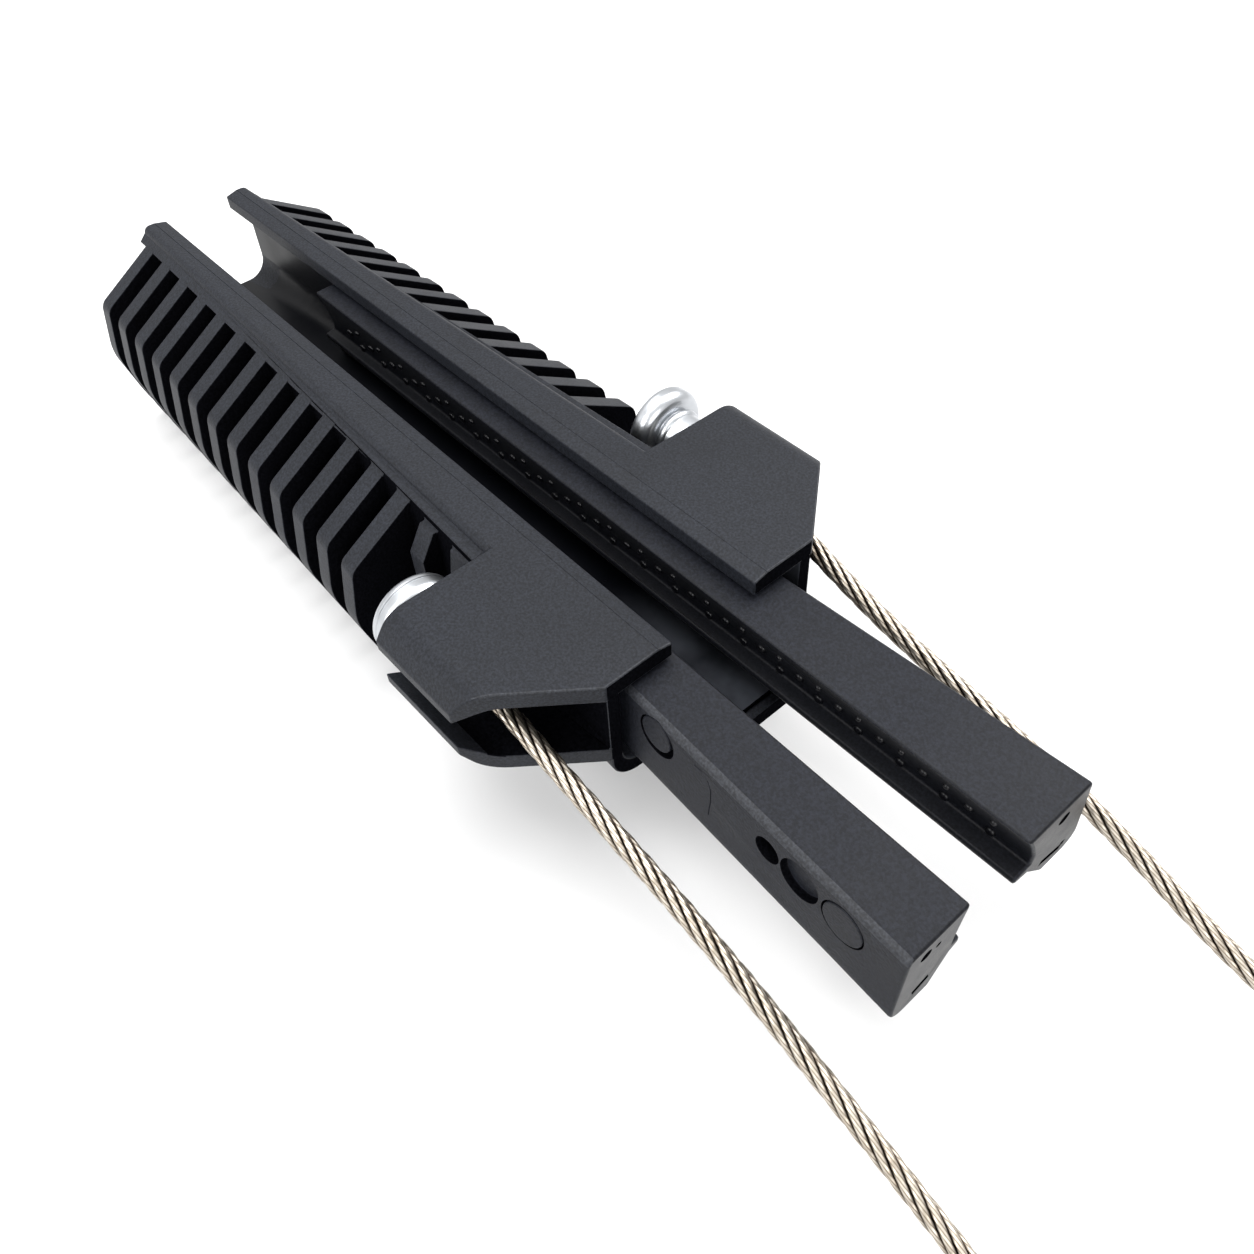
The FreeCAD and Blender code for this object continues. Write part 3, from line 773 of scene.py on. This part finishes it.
def ferrule_piece(node_name, front, drop, side, long, extra):
    """A turned ferrule: rounded flange, bead, barrel and the bore for the rope.

    A flange with extra length has a crease round it.
    """
    rear = -4.0 - extra
    outline = [(0, rear), (3.0, rear), (5.6, -3.9 - extra)]
    outline += arc((5.9, -2.8 - extra), 1.1, -80, 10, 6)
    if extra:
        outline += [(6.98, -3.3), (6.84, -3.2), (6.84, -3.05), (6.98, -2.95)]
    outline += arc((5.0, -2.0), 2.0, 0, 65, 8)
    outline += [(4.75, 0.0), (4.2, 0.12), (4.05, 0.3)]
    outline += arc((3.9, 1.15), 0.85, -70, 60, 6)
    outline += [(4.25, 2.4), (4.22, long - 1.0)] + arc((3.2, long - 1.0), 1.0, 12, 90, 4)
    outline += [(1.85, long), (FERRULE_BORE, long - 0.2)]
    outline += [(FERRULE_BORE, long - 4.4), (0, long - 4.4)]
    bm = turned(outline, (front, side * FERRULE_ACROSS, TOP - drop), FORWARD, 72)
    piece = show(node_name + "_turned", finish_mesh(bm, node_name + "_turned", 35))
    wear(piece, BRIGHT_ZINC, "clamp")
    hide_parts(node_name)
    return piece


RIB_REACH = (-98.0, 20.2)
SHELL_REACH = (-94.0, 19.9)
TROUGH_REACH = (-92.0, 56.0)
TROUGH_HEIGHTS = (17.0, 34.4)
LUG_REACH = (20.6, 50.9)
LUG_HEIGHTS = (24.3, 34.6)
LUG_INSIDE = 34.0


def body_finishes(piece):
    """Painted shade between the ribs, in the trough, in the lugs and on the plate's front face, a
    painted reflection towards the trough's front, and a painted highlight on the front edges.
    """
    # Rib sides, shell sides and the lugs' insides get painted shade.
    def shaded_hollow(place, out, area):
        across = abs(place.y)
        plate, trough = between(PLATE_HALF, place.x), between(TROUGH_HALF, place.x)
        rib_side = (within(place.x, RIB_REACH) and abs(out.x) > 0.85
                    and (across > plate - 0.8 or area > 60) and place.z < 37.2)
        shell_side = (within(place.x, SHELL_REACH) and place.z < 34.3
                      and plate - 2.0 < across < trough + 2.4)
        in_lug = (within(place.x, LUG_REACH) and within(place.z, LUG_HEIGHTS)
                  and trough + 1.0 < across < LUG_INSIDE and abs(out.x) < 0.95)
        return rib_side or shell_side or in_lug

    def in_trough(place, out, area):
        return (within(place.x, TROUGH_REACH) and within(place.z, TROUGH_HEIGHTS)
                and abs(place.y) < between(TROUGH_HALF, place.x) + 0.1 and abs(out.x) < 0.5)

    # The plate's front face gets painted shade.
    def shaded_plate_front(place, out, area):
        return place.x > LUG_REACH[1] and out.x > 0.8 and abs(place.y) < 21 and area > 2

    # The front top edges get a painted highlight.
    def painted_highlight_edge(place, out, area):
        return place.x > 34 and place.z > 37.8 and out.x > 0.2 and out.z > 0.2

    finish_faces(piece, PAINTED_SHADE_PLASTIC, shaded_hollow)
    finish_faces(piece, TROUGH_SHADE_AND_REFLECTION, in_trough)
    finish_faces(piece, PAINTED_SHADE_PLASTIC, shaded_plate_front)
    finish_faces(piece, EDGE_HIGHLIGHT_PLASTIC, painted_highlight_edge)


def jaw_finishes(piece, side):
    """A wedge's groove and top edges darker as painted shade, its front end paler as painted light,
    and the left one's outer top edge with a painted highlight.
    """
    # The groove's inward faces get painted shade.
    def groove(place, out, area):
        inward = side * out.y < -0.12 or (out.z > 0.5 and place.z < 30)
        return (place.x < 100.5 and place.z < 33.8 and abs(place.y) < 10.5
                and abs(out.x) < 0.6 and inward)

    # The top edges get painted shade.
    def shaded_top_edge(place, out, area):
        return place.z > 33.9 and 0.15 < out.z < 0.97 and side * out.y < 0.2

    # The left wedge's outer top edge gets a painted highlight.
    def painted_highlight_line(place, out, area):
        return side == LEFT and place.z > 33.2 and 0.2 < out.z < 0.97 and out.y < -0.2

    # The front end gets painted light.
    def painted_light_front_end(place, out, area):
        return place.x > 100.9 and out.x > 0.97

    finish_faces(piece, SHADED_PLASTIC, groove)
    finish_faces(piece, SHADED_PLASTIC, shaded_top_edge)
    finish_faces(piece, EDGE_HIGHLIGHT_PLASTIC, painted_highlight_line)
    finish_faces(piece, END_PAINTED_LIGHT_PLASTIC, painted_light_front_end)


SHOULDER_TOP = 37.11
SHOULDER_WIDTH = 3.72


def plate_shoulders():
    """The sloping shoulder between each top plate and the ribs."""
    strips = []
    for side in (LEFT, RIGHT):
        start, end = ((x, side * between(PLATE_HALF, x), SHOULDER_TOP) for x in (-100.9, 21.0))
        slope = (0, side * 0.683, 0.73)
        strips.append(bar(start, end, SHOULDER_WIDTH, low=-1.2, high=0.02, up=slope))
    piece = show("plate_shoulders", finish_mesh(gather(strips), "plate_shoulders"))
    wear(piece, BODY_PLASTIC, "clamp")


def dress(piece, node_name, material, body, plain_cuts, shaded_cuts):
    """Finishes and carves a moulded copy, which then stands for its node."""
    wear(piece, material, body)
    for tool in plain_cuts:
        carve(piece, tool)
    # The faces these cuts leave get painted shade.
    for tool, floor_normal in shaded_cuts:
        carve(piece, tool, PAINTED_SHADE_PLASTIC, floor_normal)
    flatten_faces(piece)
    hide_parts(node_name)


def shaded_end_cuts(side):
    """The cutters of a wedge's front end, whose cut faces all get painted shade."""
    return [(tool, None) for tool in end_recesses(side)]


clamp_moulding = moulded_copy("clamp_body", "clamp_moulding", 0.25 * MM)
left_jaw = moulded_copy("left_wedge", "left_jaw_wedge", 0.4 * MM,
                        soft_line=lambda place: place.z > 34.3 and place.y < -14.0)
right_jaw = moulded_copy("right_wedge", "right_jaw_wedge", 0.4 * MM)
dress(clamp_moulding, "clamp_body", BODY_PLASTIC, "clamp", plate_lines(), [])
dress(left_jaw, "left_wedge", WEDGE_PLASTIC, "left_jaw",
      left_jaw_arc(), left_jaw_recesses() + shaded_end_cuts(LEFT))
dress(right_jaw, "right_wedge", WEDGE_PLASTIC, "right_jaw",
      [], shaded_end_cuts(RIGHT))

body_finishes(clamp_moulding)
jaw_finishes(left_jaw, LEFT)
jaw_finishes(right_jaw, RIGHT)
plate_shoulders()
left_jaw_discs()
jaw_studs(LEFT, "left_jaw_studs", "left_jaw")
jaw_studs(RIGHT, "right_jaw_studs", "right_jaw")
ferrules = [ferrule_piece("left_ferrule", 19.0, 9.2, LEFT, long=10.4, extra=0.8),
            ferrule_piece("right_ferrule", 13.7, 7.0, RIGHT, long=6.4, extra=0.0)]

wear(wire_rope, BARE_WIRE, "clamp")
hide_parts("bail_rope")


# ---------------------------------------------------------------- floor and light

FLOOR_RADIUS = 4.0
FLOOR_COLOUR = (0.80, 0.80, 0.80, 1)
GLOW_REACH = (0.4, 1.0)
NEAR_GLOW = 0.12
ROOM_LIGHT = 0.30
LAMP_AIM = Vector((0.0, 0.0, 0.02))


def seen_directly(tree):
    """One where a surface is seen by the camera, in a gloss or through glass, and else none."""
    rays = tree.nodes.new("ShaderNodeLightPath")
    seen = math_node(tree, "MAXIMUM", rays.outputs["Is Camera Ray"], rays.outputs["Is Glossy Ray"])
    return math_node(tree, "MAXIMUM", seen, rays.outputs["Is Transmission Ray"])


def make_floor():
    """A pale floor that keeps the shadow and turns white away from the clamp."""
    bm = bmesh.new()
    bmesh.ops.create_circle(bm, cap_ends=True, segments=64, radius=FLOOR_RADIUS)
    mesh = bpy.data.meshes.new("floor")
    bm.to_mesh(mesh)
    bm.free()
    floor = show("floor", mesh)
    material, tree, shader = new_material("pale_floor")
    shader.inputs["Base Color"].default_value = FLOOR_COLOUR
    shader.inputs["Roughness"].default_value = 0.9
    shader.inputs["Specular IOR Level"].default_value = 0.1
    glow = node(tree, "ShaderNodeEmission", Strength=1.0)
    place = tree.nodes.new("ShaderNodeTexCoord")
    away = node(tree, "ShaderNodeVectorMath", operation="LENGTH")
    tree.links.new(place.outputs["Object"], away.inputs[0])
    whiter = map_range(tree, away.outputs["Value"], GLOW_REACH, NEAR_GLOW, 1.0)
    share = math_node(tree, "MULTIPLY", seen_directly(tree), whiter)
    mixed = tree.nodes.new("ShaderNodeMixShader")
    tree.links.new(share, mixed.inputs[0])
    tree.links.new(shader.outputs[0], mixed.inputs[1])
    tree.links.new(glow.outputs[0], mixed.inputs[2])
    tree.links.new(mixed.outputs[0], tree.nodes["Material Output"].inputs["Surface"])
    floor.data.materials.append(material)


def soft_box(name, place, size, watts):
    """A square lamp that faces the clamp."""
    data = bpy.data.lights.new(name, "AREA")
    data.shape = "RECTANGLE"
    data.size = data.size_y = size
    data.energy = watts
    lamp = show(name, data)
    lamp.location = place
    lamp.rotation_euler = (LAMP_AIM - Vector(place)).to_track_quat("-Z", "Y").to_euler()


def light_room():
    """A white world that lights the clamp weakly, and four soft lamps."""
    world = bpy.data.worlds.new("studio")
    bpy.context.scene.world = world
    world.use_nodes = True
    tree = world.node_tree
    back = tree.nodes["Background"]
    back.inputs["Color"].default_value = (1, 1, 1, 1)
    strength = map_range(tree, seen_directly(tree), (0, 1), ROOM_LIGHT, 1.0)
    tree.links.new(strength, back.inputs["Strength"])
    soft_box("key_light", (0.10, 0.75, 0.95), 0.8, 15)
    soft_box("top_light", (-0.25, -0.05, 1.1), 0.9, 12)
    soft_box("left_light", (-0.15, -0.85, 0.55), 0.6, 7.5)
    soft_box("front_light", (0.9, -0.35, 0.5), 0.6, 6)


make_floor()
light_room()
bpy.context.scene.view_settings.view_transform = "Standard"
